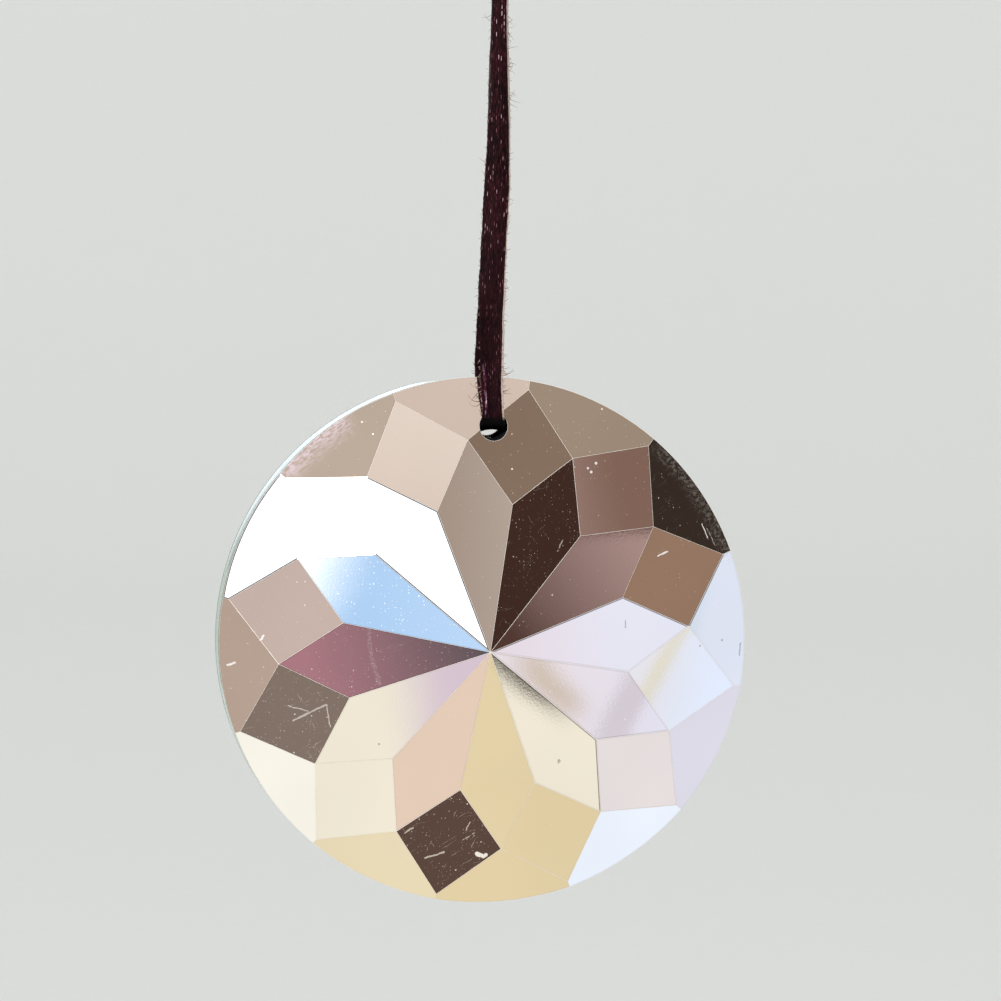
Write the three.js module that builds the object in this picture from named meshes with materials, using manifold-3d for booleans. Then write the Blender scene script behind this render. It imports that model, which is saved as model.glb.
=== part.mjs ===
// Crystal suncatcher: a faceted round glass crystal with one drilled hole,
// hung on a doubled flat satin ribbon that ends in a knot and a hanging eye.
// Millimetres, +Z up. The faceted front looks along -Y, +X is to its right.
// The origin is the top of the hanging eye, on its inner side, where a hook bears.

import * as THREE from 'three';
import { mergeVertices } from 'three/addons/utils/BufferGeometryUtils.js';
import Module from 'manifold-3d';

// ---------------------------------------------------------------- sizes
const DISC_DIAMETER = 45.0;      // across the ground cylindrical wall
const DISC_THICKNESS = 11.8;     // flat back to the point of the front
const FACET_COUNT = 12;          // facets in each of the three rings
const INNER_RADIUS = 12.3;       // ring of points where kites meet squares
const MIDDLE_RADIUS = 17.5;      // ring of points where four facets meet
const OUTER_RADIUS = 21.9;       // ring of points just inside the wall
const KITE_SLOPE = 16.4;         // degrees, slope of the central kite facets
const FACET_TURN = 110.8;        // degrees from +X to the first inner point
const BACK_CHAMFER = 0.35;       // polished bevel around the flat back
const WALL_SEGMENTS = 144;       // flats that stand for the round wall

const HOLE_DIAMETER = 2.4;       // drilled straight through
const HOLE_RADIUS_POSITION = 18.55; // hole centre from the disc centre
const HOLE_ANGLE = 88.6;         // degrees from +X to the hole centre
const HOLE_SEGMENTS = 32;

const HOLE_DROP = 51.0;          // origin down to the hole centre
const BACK_Y = 3.8;              // plane of the flat back
const RIBBON_WIDTH = 2.2;
const RIBBON_THICKNESS = 0.36;
const HOLE_RIDE = 0.12;          // the taut ribbon runs this far above the hole centre
const STRAND_GAP = 0.7;          // ribbon centre to glass where it turns upward
const KNOT_BOTTOM = -13.2;
const KNOT_TOP = -9.2;
const KNOT_WIDTH = 4.4;
const KNOT_DEPTH = 3.4;
const STRAND_SPLIT = 0.42;       // half the distance between the strands at the knot
const EYE_HALF_DEPTH = 2.3;      // widest half depth of the hanging eye
const TOUCH_GAP = 0.3;           // gap kept between pieces that touch
const STRAND_STEPS = 62;
const EYE_STEPS = 18;

// ---------------------------------------------------------------- solids
const wasm = await Module();
wasm.setup();

function toSolid(geometry) {
  const g = geometry.clone();
  g.deleteAttribute('normal');
  g.deleteAttribute('uv');
  const merged = mergeVertices(g, 1e-5);
  return new wasm.Manifold(new wasm.Mesh({
    numProp: 3,
    vertProperties: new Float32Array(merged.attributes.position.array),
    triVerts: new Uint32Array(merged.index.array),
  }));
}

function toGeometry(solid) {
  const mesh = solid.getMesh();
  const g = new THREE.BufferGeometry();
  const count = mesh.vertProperties.length / mesh.numProp;
  const positions = new Float32Array(count * 3);
  for (let i = 0; i < count; i++) {
    for (let k = 0; k < 3; k++) positions[3 * i + k] = mesh.vertProperties[mesh.numProp * i + k];
  }
  g.setAttribute('position', new THREE.BufferAttribute(positions, 3));
  g.setIndex(new THREE.BufferAttribute(new Uint32Array(mesh.triVerts), 1));
  g.computeVertexNormals();
  return g;
}

const rad = THREE.MathUtils.degToRad;

// ---------------------------------------------------------------- crystal
// Heights are measured from the flat back towards the front point.
const half = Math.PI / FACET_COUNT;
const slopeKite = Math.tan(rad(KITE_SLOPE));
const innerHeight = DISC_THICKNESS - slopeKite * INNER_RADIUS * Math.cos(half);
const middleHeight = DISC_THICKNESS - slopeKite * MIDDLE_RADIUS;
const slopeSquare = (innerHeight - middleHeight) / (MIDDLE_RADIUS * Math.cos(half) - INNER_RADIUS);
const outerHeight = innerHeight - slopeSquare * (OUTER_RADIUS - INNER_RADIUS);
const slopeGirdle = (middleHeight - outerHeight) / (OUTER_RADIUS * Math.cos(half) - MIDDLE_RADIUS);

// A facet is one plane: its height at a distance along its own direction.
// The block stands on that plane and is what the grinding takes away.
function facetBlock(direction, distance, height, slope) {
  const size = 70, depth = 20;
  const block = new THREE.BoxGeometry(size, size, depth);
  block.translate(0, 0, depth / 2);
  const normal = new THREE.Vector3(slope * Math.cos(direction), slope * Math.sin(direction), 1).normalize();
  block.applyQuaternion(new THREE.Quaternion().setFromUnitVectors(new THREE.Vector3(0, 0, 1), normal));
  block.translate(distance * Math.cos(direction), distance * Math.sin(direction), height);
  return toSolid(block);
}

// The disc lying on its back at the origin. With grow above 0 it is the same
// disc grown by that much all round, which other pieces are kept clear of.
function crystalSolid(grow) {
  const r = DISC_DIAMETER / 2 + grow, c = BACK_CHAMFER;
  const profile = [
    new THREE.Vector2(0, -grow), new THREE.Vector2(r - c, -grow), new THREE.Vector2(r, c - grow),
    new THREE.Vector2(r, DISC_THICKNESS + 1), new THREE.Vector2(0, DISC_THICKNESS + 1),
  ];
  const blank = new THREE.LatheGeometry(profile, WALL_SEGMENTS);
  blank.rotateX(Math.PI / 2);
  let solid = toSolid(blank);
  for (let i = 0; i < FACET_COUNT; i++) {
    const point = rad(FACET_TURN) - i * 2 * half;
    const between = point - half;
    for (const cut of [
      facetBlock(between, 0, DISC_THICKNESS + grow, slopeKite),
      facetBlock(point, INNER_RADIUS, innerHeight + grow, slopeSquare),
      facetBlock(between, MIDDLE_RADIUS, middleHeight + grow, slopeGirdle),
    ]) {
      solid = solid.subtract(cut);
    }
  }
  const bore = HOLE_DIAMETER / 2 - grow;
  const drill = new THREE.CylinderGeometry(bore, bore, 40, HOLE_SEGMENTS);
  drill.rotateX(Math.PI / 2);
  drill.translate(
    HOLE_RADIUS_POSITION * Math.cos(rad(HOLE_ANGLE)),
    HOLE_RADIUS_POSITION * Math.sin(rad(HOLE_ANGLE)), 0);
  const g = toGeometry(solid.subtract(toSolid(drill)));
  // stand the disc up: its front height becomes -Y, with the hole under the origin
  g.rotateX(Math.PI / 2);
  g.translate(
    -HOLE_RADIUS_POSITION * Math.cos(rad(HOLE_ANGLE)), BACK_Y,
    -HOLE_DROP - HOLE_RADIUS_POSITION * Math.sin(rad(HOLE_ANGLE)));
  return g;
}

// ---------------------------------------------------------------- ribbon
const P = (y, z) => new THREE.Vector3(0, y, z);

function ribbonSection() {
  const w = RIBBON_WIDTH / 2, t = RIBBON_THICKNESS / 2, e = t * 0.5;
  const s = new THREE.Shape();
  s.moveTo(-w, -t + e);
  s.lineTo(-w + e, -t);
  s.lineTo(w - e, -t);
  s.lineTo(w, -t + e);
  s.lineTo(w, t - e);
  s.lineTo(w - e, t);
  s.lineTo(-w + e, t);
  s.lineTo(-w, t - e);
  s.closePath();
  return s;
}

function along(path, steps) {
  return new THREE.ExtrudeGeometry(ribbonSection(), { steps, extrudePath: path, bevelEnabled: false });
}

// Front surface of the crystal above the plumb line, for the ribbon's turn at the hole.
function frontHeightAt(x, z) {
  let h = Infinity;
  const radius = Math.hypot(x, z), angle = Math.atan2(z, x);
  for (let i = 0; i < FACET_COUNT; i++) {
    const point = rad(FACET_TURN) - i * 2 * half, between = point - half;
    const u = radius * Math.cos(angle - between), v = radius * Math.cos(angle - point);
    h = Math.min(h,
      DISC_THICKNESS - slopeKite * u,
      innerHeight - slopeSquare * (v - INNER_RADIUS),
      middleHeight - slopeGirdle * (u - MIDDLE_RADIUS));
  }
  return h;
}

const holeX = HOLE_RADIUS_POSITION * Math.cos(rad(HOLE_ANGLE));
const holeZ = HOLE_RADIUS_POSITION * Math.sin(rad(HOLE_ANGLE));
const mouthTop = -HOLE_DROP + HOLE_DIAMETER / 2;
const mouthY = BACK_Y - frontHeightAt(holeX, holeZ + HOLE_DIAMETER / 2);
const rimTop = -HOLE_DROP - holeZ + DISC_DIAMETER / 2;

function strandPath() {
  const path = new THREE.CurvePath();
  const end = KNOT_BOTTOM - TOUCH_GAP;
  const ride = -HOLE_DROP + HOLE_RIDE;
  const yFront = mouthY - STRAND_GAP, yBack = BACK_Y + STRAND_GAP;
  const frontTurn = P(yFront, mouthTop + 0.7);
  const frontIn = P(mouthY + 0.25, ride);
  const backIn = P(BACK_Y - 0.25, ride);
  const backTurn = P(yBack, mouthTop + 0.7);
  const backRim = P(yBack, rimTop - 0.6);
  const backLeave = P(yBack - 0.2, rimTop + 1.6);
  path.add(new THREE.LineCurve3(P(-STRAND_SPLIT, end), frontTurn));
  path.add(new THREE.QuadraticBezierCurve3(frontTurn, P(yFront - 0.05, ride), frontIn));
  path.add(new THREE.LineCurve3(frontIn, backIn));
  path.add(new THREE.QuadraticBezierCurve3(backIn, P(yBack + 0.02, ride), backTurn));
  path.add(new THREE.LineCurve3(backTurn, backRim));
  path.add(new THREE.QuadraticBezierCurve3(backRim, P(yBack, rimTop + 0.4), backLeave));
  path.add(new THREE.LineCurve3(backLeave, P(STRAND_SPLIT, end)));
  return path;
}

function buildStrands() {
  // in the hole the ribbon cups to the wall, so it gives way to the disc with its clearance
  const strands = toSolid(along(strandPath(), STRAND_STEPS));
  const bodies = strands.subtract(toSolid(crystalSolid(TOUCH_GAP))).decompose();
  bodies.sort((a, b) => b.volume() - a.volume());
  return toGeometry(bodies[0]);
}

function buildEye() {
  const base = KNOT_TOP + TOUCH_GAP, t = RIBBON_THICKNESS / 2;
  const d = EYE_HALF_DEPTH;
  const path = new THREE.CatmullRomCurve3([
    P(-STRAND_SPLIT, base), P(-0.9, base + 1.5), P(-d * 0.86, base + 4.2), P(-d, -2.6),
    P(-d * 0.72, -0.75), P(0, t), P(d * 0.72, -0.75), P(d, -2.6),
    P(d * 0.86, base + 4.2), P(0.9, base + 1.5), P(STRAND_SPLIT, base),
  ], false, 'centripetal');
  return along(path, EYE_STEPS);
}

function buildKnot() {
  const h = (KNOT_TOP - KNOT_BOTTOM) / 2;
  const profile = [];
  const rings = 8;
  for (let i = 0; i <= rings; i++) {
    const a = -Math.PI / 2 + Math.PI * i / rings;
    const r = Math.pow(Math.cos(a), 0.7);
    profile.push(new THREE.Vector2(i === 0 || i === rings ? 0 : r * KNOT_WIDTH / 2, Math.sin(a) * h));
  }
  const g = new THREE.LatheGeometry(profile, 20);
  g.rotateX(Math.PI / 2);
  g.scale(1, KNOT_DEPTH / KNOT_WIDTH, 1);
  g.translate(0, 0, (KNOT_TOP + KNOT_BOTTOM) / 2);
  return toGeometry(toSolid(g));
}

// ---------------------------------------------------------------- the object
const glass = new THREE.MeshStandardMaterial({ color: 0xc9ae9c, roughness: 0.06, metalness: 0.9 });
const satin = new THREE.MeshStandardMaterial({ color: 0x2a1416, roughness: 0.45, metalness: 0.0 });

function piece(name, geometry, material) {
  const mesh = new THREE.Mesh(geometry, material);
  mesh.name = name;
  return mesh;
}

const suncatcher = new THREE.Group();
suncatcher.add(piece('crystal_disc', crystalSolid(0), glass));
suncatcher.add(piece('ribbon_strands', buildStrands(), satin));
suncatcher.add(piece('ribbon_knot', buildKnot(), satin.clone()));
suncatcher.add(piece('ribbon_eye', buildEye(), satin.clone()));

export default suncatcher;
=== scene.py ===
"""Crystal suncatcher: looks. Blender 4.5, metres, +Z up.

A faceted crystal disc with a champagne mirror front hangs on a doubled satin
ribbon. The camera and the ribbon are made first, then the crystal, then the
studio around them.
"""
import math
import random

import bmesh
import bpy
import numpy as np
from mathutils import Matrix, Vector


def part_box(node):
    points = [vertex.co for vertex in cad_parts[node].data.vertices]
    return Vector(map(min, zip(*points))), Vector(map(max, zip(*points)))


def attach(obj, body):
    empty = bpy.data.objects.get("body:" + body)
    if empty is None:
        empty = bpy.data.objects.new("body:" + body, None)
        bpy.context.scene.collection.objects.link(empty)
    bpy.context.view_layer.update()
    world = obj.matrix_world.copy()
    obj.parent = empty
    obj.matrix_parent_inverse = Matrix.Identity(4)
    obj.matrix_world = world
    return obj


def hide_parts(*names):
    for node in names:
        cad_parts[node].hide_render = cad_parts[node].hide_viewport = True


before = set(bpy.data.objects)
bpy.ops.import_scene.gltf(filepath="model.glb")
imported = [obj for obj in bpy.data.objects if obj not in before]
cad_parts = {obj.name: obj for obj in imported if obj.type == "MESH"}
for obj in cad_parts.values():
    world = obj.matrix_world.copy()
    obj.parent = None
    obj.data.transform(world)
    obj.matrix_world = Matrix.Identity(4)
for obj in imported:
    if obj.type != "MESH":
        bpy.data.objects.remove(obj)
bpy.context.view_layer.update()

MM = 0.001
DISC_LOW, DISC_HIGH = (np.array(c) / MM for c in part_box("crystal_disc"))
KNOT_LOW, KNOT_HIGH = (np.array(c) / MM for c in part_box("ribbon_knot"))

# ------------------------------------------------------------------ sizes, mm
# the same driving sizes as the CAD model
DISC_RADIUS = (DISC_HIGH[0] - DISC_LOW[0]) / 2
DISC_THICKNESS = DISC_HIGH[1] - DISC_LOW[1]
FACETS = 12
INNER_R, MIDDLE_R, OUTER_R = 12.3, 17.5, 21.9
KITE_SLOPE = 16.4
FACET_TURN = 110.8
BACK_CHAMFER = 0.35
HOLE_RADIUS = 1.2
HOLE_AT, HOLE_ANGLE = 18.55, 88.6
BACK_Y = DISC_HIGH[1]
CENTRE_X = (DISC_LOW[0] + DISC_HIGH[0]) / 2
CENTRE_Z = (DISC_LOW[2] + DISC_HIGH[2]) / 2
HOLE_X = CENTRE_X + HOLE_AT * math.cos(math.radians(HOLE_ANGLE))
HOLE_Z = CENTRE_Z + HOLE_AT * math.sin(math.radians(HOLE_ANGLE))

HALF = math.pi / FACETS
SLOPE_K = math.tan(math.radians(KITE_SLOPE))
H_INNER = DISC_THICKNESS - SLOPE_K * INNER_R * math.cos(HALF)
H_MIDDLE = DISC_THICKNESS - SLOPE_K * MIDDLE_R
SLOPE_S = (H_INNER - H_MIDDLE) / (MIDDLE_R * math.cos(HALF) - INNER_R)
H_OUTER = H_INNER - SLOPE_S * (OUTER_R - INNER_R)
SLOPE_G = (H_MIDDLE - H_OUTER) / (OUTER_R * math.cos(HALF) - MIDDLE_R)

collection = bpy.context.scene.collection


# ------------------------------------------------------------------ helpers
def smooth(lo, hi, x):
    t = np.clip((np.asarray(x, float) - lo) / (hi - lo), 0.0, 1.0)
    return t * t * (3 - 2 * t)


def new_object(name, verts, faces, material=None, smooth_faces=True):
    """verts in mm."""
    me = bpy.data.meshes.new(name)
    me.from_pydata([tuple(np.asarray(v) * MM) for v in verts], [], [list(map(int, f)) for f in faces])
    me.update()
    if smooth_faces:
        me.polygons.foreach_set("use_smooth", [True] * len(me.polygons))
    o = bpy.data.objects.new(name, me)
    collection.objects.link(o)
    if material:
        me.materials.append(material)
    return o


class Nodes:
    """A small builder for node trees."""

    def __init__(self, tree):
        self.t = tree
        tree.nodes.clear()

    def add(self, kind, **settings):
        n = self.t.nodes.new("ShaderNode" + kind)
        inputs = settings.pop("inputs", {})
        for k, v in settings.items():
            setattr(n, k, v)
        for k, v in inputs.items():
            self.put(n.inputs[k], v)
        return n

    def put(self, socket, value):
        if isinstance(value, bpy.types.NodeSocket):
            self.t.links.new(value, socket)
        elif isinstance(value, bpy.types.Node):
            self.t.links.new(value.outputs[0], socket)
        elif isinstance(value, (tuple, list)) and len(value) == 3 and len(getattr(socket, "default_value", ())) == 4:
            socket.default_value = (*value, 1.0)
        else:
            socket.default_value = value

    def math(self, op, a, b=None, c=None, clamp=False):
        n = self.add("Math", operation=op, use_clamp=clamp)
        for i, v in enumerate((a, b, c)):
            if v is not None:
                self.put(n.inputs[i], v)
        return n.outputs[0]

    def vmath(self, op, a, b=None, out=0, **kw):
        n = self.add("VectorMath", operation=op)
        self.put(n.inputs[0], a)
        if b is not None:
            self.put(n.inputs[1], b)
        for k, v in kw.items():
            self.put(n.inputs[k], v)
        return n.outputs[out]

    def mix(self, fac, a, b, mode="MIX"):
        n = self.add("Mix", data_type="RGBA", blend_type=mode, clamp_factor=True)
        self.put(n.inputs[0], fac)
        self.put(n.inputs[6], a)
        self.put(n.inputs[7], b)
        return n.outputs[2]

    def mixf(self, fac, a, b):
        n = self.add("Mix", data_type="FLOAT", clamp_factor=True)
        self.put(n.inputs[0], fac)
        self.put(n.inputs[2], a)
        self.put(n.inputs[3], b)
        return n.outputs[0]

    def step(self, x, lo, hi, out_lo=0.0, out_hi=1.0, kind="SMOOTHSTEP"):
        n = self.add("MapRange", interpolation_type=kind, clamp=True) if kind != "SMOOTHSTEP" else self.add(
            "MapRange", interpolation_type=kind)
        for i, v in enumerate((x, lo, hi, out_lo, out_hi)):
            self.put(n.inputs[i], v)
        return n.outputs[0]

    def noise(self, vector, scale, detail=2.0, rough=0.5, distortion=0.0, out="Fac"):
        n = self.add("TexNoise", inputs={"Scale": scale, "Detail": detail, "Roughness": rough, "Distortion": distortion})
        self.put(n.inputs["Vector"], vector)
        return n.outputs[out]

    def voronoi(self, vector, scale, feature="F1", out="Distance", randomness=1.0):
        n = self.add("TexVoronoi", feature=feature)
        n.inputs["Scale"].default_value = scale
        n.inputs["Randomness"].default_value = randomness
        self.put(n.inputs["Vector"], vector)
        return n.outputs[out]


def material(name):
    m = bpy.data.materials.new(name)
    m.use_nodes = True
    return m, Nodes(m.node_tree)


# ------------------------------------------------------------------ camera
AZ, EL, ROLL = math.radians(-5.92), math.radians(5.08), math.radians(1.2)
CAMERA_DISTANCE = 450.0  # mm, camera to the plane of the front rim
PX_PER_MM = 11.744
back_dir = Vector((math.sin(AZ) * math.cos(EL), -math.cos(AZ) * math.cos(EL), math.sin(EL)))
right_dir = Vector((math.cos(AZ), math.sin(AZ), 0.0))
up_dir = back_dir.cross(right_dir)
rim_height = H_MIDDLE - SLOPE_G * (DISC_RADIUS - MIDDLE_R)
rim_centre = Vector((CENTRE_X, BACK_Y - rim_height, CENTRE_Z))
camera_at = rim_centre + 1.36 * right_dir + 12.06 * up_dir + CAMERA_DISTANCE * back_dir
cam_data = bpy.data.cameras.new("camera")
cam_data.sensor_width = 36.0
cam_data.lens = PX_PER_MM * CAMERA_DISTANCE * 36.0 / 1001.0
cam_data.clip_start = 0.01
cam_data.clip_end = 20.0
camera = bpy.data.objects.new("camera", cam_data)
right_c = right_dir * math.cos(ROLL) + up_dir * math.sin(ROLL)
up_c = up_dir * math.cos(ROLL) - right_dir * math.sin(ROLL)
turn = Matrix((right_c, up_c, back_dir)).transposed()
camera.matrix_world = Matrix.Translation(camera_at * MM) @ turn.to_4x4()
collection.objects.link(camera)
bpy.context.scene.camera = camera


# ------------------------------------------------------------------ ribbon
RIBBON_W = 2.2
RIBBON_T = 0.20
YARNS = 12
MOUTH_Z = HOLE_Z + HOLE_RADIUS
FRONT_MOUTH_Y = DISC_HIGH[1] - 5.62
RIM_TOP = DISC_HIGH[2]
STRAND_TOP = KNOT_LOW[2] - 0.3


def hermite_polyline(points, step):
    """A centripetal Catmull-Rom curve through the points, resampled at an even step."""
    p = np.array(points, float)
    p = np.vstack([2 * p[0] - p[1], p, 2 * p[-1] - p[-2]])
    dense = []
    for i in range(1, len(p) - 2):
        p0, p1, p2, p3 = p[i - 1:i + 3]
        d1, d2, d3 = (max(np.linalg.norm(b - a), 1e-6) ** 0.5 for a, b in ((p0, p1), (p1, p2), (p2, p3)))
        t0, t1 = 0.0, d1
        t2 = t1 + d2
        t3 = t2 + d3
        for t in np.linspace(t1, t2, 40, endpoint=False):
            a1 = (t1 - t) / (t1 - t0) * p0 + (t - t0) / (t1 - t0) * p1
            a2 = (t2 - t) / (t2 - t1) * p1 + (t - t1) / (t2 - t1) * p2
            a3 = (t3 - t) / (t3 - t2) * p2 + (t - t2) / (t3 - t2) * p3
            b1 = (t2 - t) / (t2 - t0) * a1 + (t - t0) / (t2 - t0) * a2
            b2 = (t3 - t) / (t3 - t1) * a2 + (t - t1) / (t3 - t1) * a3
            dense.append((t2 - t) / (t2 - t1) * b1 + (t - t1) / (t2 - t1) * b2)
    dense.append(p[-2])
    dense = np.array(dense)
    s = np.concatenate([[0], np.cumsum(np.linalg.norm(np.diff(dense, axis=0), axis=1))])
    n = int(round(s[-1] / step)) + 1
    u = np.linspace(0, s[-1], n)
    return np.stack([np.interp(u, s, dense[:, k]) for k in range(3)], -1), s[-1]


def sway(z):
    """The ribbon's gentle sway between the hole and the knot."""
    return np.interp(z, [-51.0, -49.6, -46.4, -41.4, -36.5, -30.9, -25.4, -22.8, -18.5, -15.1, -13.0],
                     [-0.10, -0.12, -0.275, -0.33, -0.235, 0.035, 0.13, 0.07, 0.01, 0.025, 0.0])


def ribbon_route():
    back = BACK_Y + 0.36
    front_turn = FRONT_MOUTH_Y - 0.42
    pts = [(0.0, 1.1, HOLE_Z - 0.30), (0.0, -0.4, HOLE_Z - 0.30), (0.0, FRONT_MOUTH_Y + 0.40, HOLE_Z - 0.22),
           (-0.03, FRONT_MOUTH_Y - 0.18, HOLE_Z + 0.20), (-0.07, front_turn, MOUTH_Z - 0.25),
           (-0.12, front_turn - 0.02, MOUTH_Z + 0.8)]
    for z in np.linspace(MOUTH_Z + 2.4, STRAND_TOP, 9):
        f = (z - MOUTH_Z - 0.8) / (STRAND_TOP - MOUTH_Z - 0.8)
        pts.append((sway(z), (front_turn - 0.02) * (1 - f) - 0.42 * f, z))
    pts += [(0.0, -0.34, -11.2), (0.0, -0.42, -8.9), (0, -0.95, -7.4), (0, -1.98, -4.9), (0, -2.25, -2.7),
            (0, -1.6, -0.75), (0, 0.0, 0.14), (0, 1.6, -0.75), (0, 2.25, -2.7), (0, 1.98, -4.9), (0, 0.95, -7.4),
            (0.0, 0.42, -8.9), (0.0, 0.34, -11.2)]
    for z in np.linspace(STRAND_TOP, RIM_TOP + 1.6, 9):
        f = (z - RIM_TOP - 1.6) / (STRAND_TOP - RIM_TOP - 1.6)
        behind = np.interp(z, [-44.9, -41.2, -36.5, -30.9, -25.4, -18.5, -15.1], [0.22, 0.44, 0.42, 0.27, 0.13, 0.11, 0.03])
        pts.append((sway(z) + behind, (back - 0.1) * (1 - f) + 0.42 * f, z))
    pts += [(-0.12, back + 0.02, RIM_TOP + 0.3), (-0.10, back + 0.06, RIM_TOP - 0.8), (-0.05, back + 0.05, MOUTH_Z + 0.6),
            (0.0, back - 0.02, MOUTH_Z - 0.3), (0.0, back - 0.34, MOUTH_Z - 1.05), (0.0, BACK_Y - 0.85, HOLE_Z - 0.26),
            (0.0, 1.1, HOLE_Z - 0.30)]
    return pts


route, ribbon_length = hermite_polyline(ribbon_route(), 0.112)
rng = np.random.default_rng(7)


def build_ribbon():
    p = route[:-1]  # the ring closes in the middle of the hole
    n = len(p)
    tangent = np.roll(p, -1, 0) - np.roll(p, 1, 0)
    tangent /= np.linalg.norm(tangent, axis=1)[:, None]
    z, y = p[:, 2], p[:, 1]
    s = np.arange(n) * ribbon_length / n
    on_strand = (z < STRAND_TOP) & (z > MOUTH_Z - 0.3)
    # how far the ribbon is turned about its own length, and how strongly it is cupped
    front = y < 0.9
    lean = np.radians(6.0) * np.sin((z + 40.0) * 0.42) * smooth(-48.0, -44.0, z) * (1 - smooth(-22, -18, z))
    lean = np.where(z > -12.4, 0.0, lean)
    cup = np.interp(z, [-51.1, -50.3, -49.4, -46.7, -43.6, -41.5, -36.9, -31.3, -28.4, -25.6, -22.8, -18.5, -15.1, -13.0],
                    [-46, -104, -126, -98, -58, -42, 62, 50, 98, 146, 166, 197, 220, 220])
    cup = cup + (5.0 * np.sin(z * 1.13 + 2.0) + 4.0 * np.sin(z * 2.3)) * smooth(MOUTH_Z + 1.0, MOUTH_Z + 3.0, z)
    cup = np.where(front, cup, cup - 14 * np.exp(-((z + 46.0) / 4.0) ** 2))
    hole_near = 1 - smooth(MOUTH_Z - 0.25, MOUTH_Z + 2.2, z)
    in_eye = z > -12.4
    cup = np.where(in_eye, 12.0 + 75.0 * (1 - smooth(-9.8, -7.6, z)), cup)
    kernel = np.hanning(15)
    kernel /= kernel.sum()
    cup = np.convolve(np.concatenate([cup[-7:], cup, cup[:7]]), kernel, "valid")
    lean = np.convolve(np.concatenate([lean[-7:], lean, lean[:7]]), kernel, "valid")

    x_axis = np.tile(np.array([1.0, 0, 0]), (n, 1))
    side = x_axis - (x_axis * tangent).sum(1)[:, None] * tangent
    side /= np.linalg.norm(side, axis=1)[:, None]
    outer = np.cross(tangent, side)  # the outer, satin face
    outer /= np.linalg.norm(outer, axis=1)[:, None]
    # the outer face looks to -Y on the front strand
    k0 = int(np.argmin(np.abs(z + 35.0) + 100 * (y > 0)))
    if outer[k0][1] > 0:
        outer = -outer
    cl, sl = np.cos(lean)[:, None], np.sin(lean)[:, None]
    sgn = np.where(front, 1.0, -1.0)[:, None]
    side_t = side * cl + outer * sl * sgn
    outer_t = outer * cl - side * sl * sgn
    side, outer = side_t, outer_t

    front_u = np.linspace(-RIBBON_W / 2, RIBBON_W / 2, YARNS * 4 + 1)
    back_u = np.linspace(RIBBON_W / 2, -RIBBON_W / 2, 14)[1:-1]
    pitch = RIBBON_W / YARNS
    yarn = np.clip(((front_u + RIBBON_W / 2) / pitch).astype(int), 0, YARNS - 1)
    local = (front_u + RIBBON_W / 2) / pitch - yarn - 0.5
    ridge = np.sqrt(np.clip(1 - (1.85 * local) ** 2, 0.0, 1))

    theta = np.radians(cup)
    theta = np.where(np.abs(theta) < 0.05, 0.05, theta)
    rho = RIBBON_W / theta

    def section(u, lift):
        """Points of one cross-section column u over all stations, lifted from the middle surface."""
        phi = u / rho
        lateral = rho * np.sin(phi)
        depth = rho * (1 - np.cos(phi)) - rho * (1 - np.cos(theta / 4))
        normal = outer * np.cos(phi)[:, None] + side * np.sin(phi)[:, None]
        return p + side * lateral[:, None] - outer * depth[:, None] + normal * np.asarray(lift)[:, None]

    columns, painted_glint = [], []
    repeat = 0.54
    offsets = np.array([(i * 2 % 5) / 5 * repeat for i in range(YARNS)]) + rng.uniform(-0.05, 0.05, YARNS)
    wander = [rng.uniform(0.75, 1.25, 400) for _ in range(YARNS)]
    shine = [rng.uniform(0, 1, 400) ** 1.8 for _ in range(YARNS)]
    edge_wave = 0.022 * np.sin(s * 1.9) + 0.014 * np.sin(s * 5.7 + 1) + 0.010 * np.sin(s * 13.0 + 2)
    for j, u in enumerate(front_u):
        i = yarn[j]
        q = (s + offsets[i]) / repeat
        cell = q.astype(int) % 400
        f = q - q.astype(int)
        dip = np.exp(-(np.minimum(f, 1 - f) / 0.12) ** 2)
        height = wander[i][cell]
        tilt = (shine[i][cell] - 0.3) * 0.016 * (f - 0.5)
        lift = RIBBON_T / 2 + ridge[j] * (0.034 + 0.014 * (height - 1)) - 0.022 * dip * (0.3 + 0.7 * ridge[j]) + tilt
        at_edge = abs(abs(u) - RIBBON_W / 2) < 1e-6
        uu = u + np.sign(u) * edge_wave * smooth(RIBBON_W / 2 - 0.25, RIBBON_W / 2, abs(u)) * (1 - hole_near)
        if at_edge:
            lift = lift * 0.0 + 0.01
        columns.append(section(uu, lift))
        # the strength of each float's painted glint: its random shine, off in the dips, strongest on the yarn's crown
        crown = math.exp(-(local[j] / 0.15) ** 2)
        painted_glint.append(shine[i][cell] * (1 - dip) * (0.25 + 0.75 * crown))
    for u in back_u:
        weave = 0.012 * np.sin(s * 2 * np.pi / 0.33 + u * 9)
        columns.append(section(u + 0 * s, -RIBBON_T / 2 + weave))
        painted_glint.append(0 * s)
    cols = len(columns)
    verts = np.stack(columns, 1).reshape(-1, 3)
    faces = []
    idx = np.arange(n * cols).reshape(n, cols)
    a = idx
    b = np.roll(idx, -1, 1)
    c = np.roll(np.roll(idx, -1, 0), -1, 1)
    d = np.roll(idx, -1, 0)
    quads = np.stack([a, b, c, d], -1).reshape(-1, 4)
    me = bpy.data.meshes.new("ribbon")
    me.from_pydata((verts * MM).tolist(), [], quads.tolist())
    me.update()
    bm = bmesh.new()
    bm.from_mesh(me)
    bmesh.ops.recalc_face_normals(bm, faces=bm.faces[:])
    bm.to_mesh(me)
    bm.free()
    me.polygons.foreach_set("use_smooth", [True] * len(me.polygons))
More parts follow.
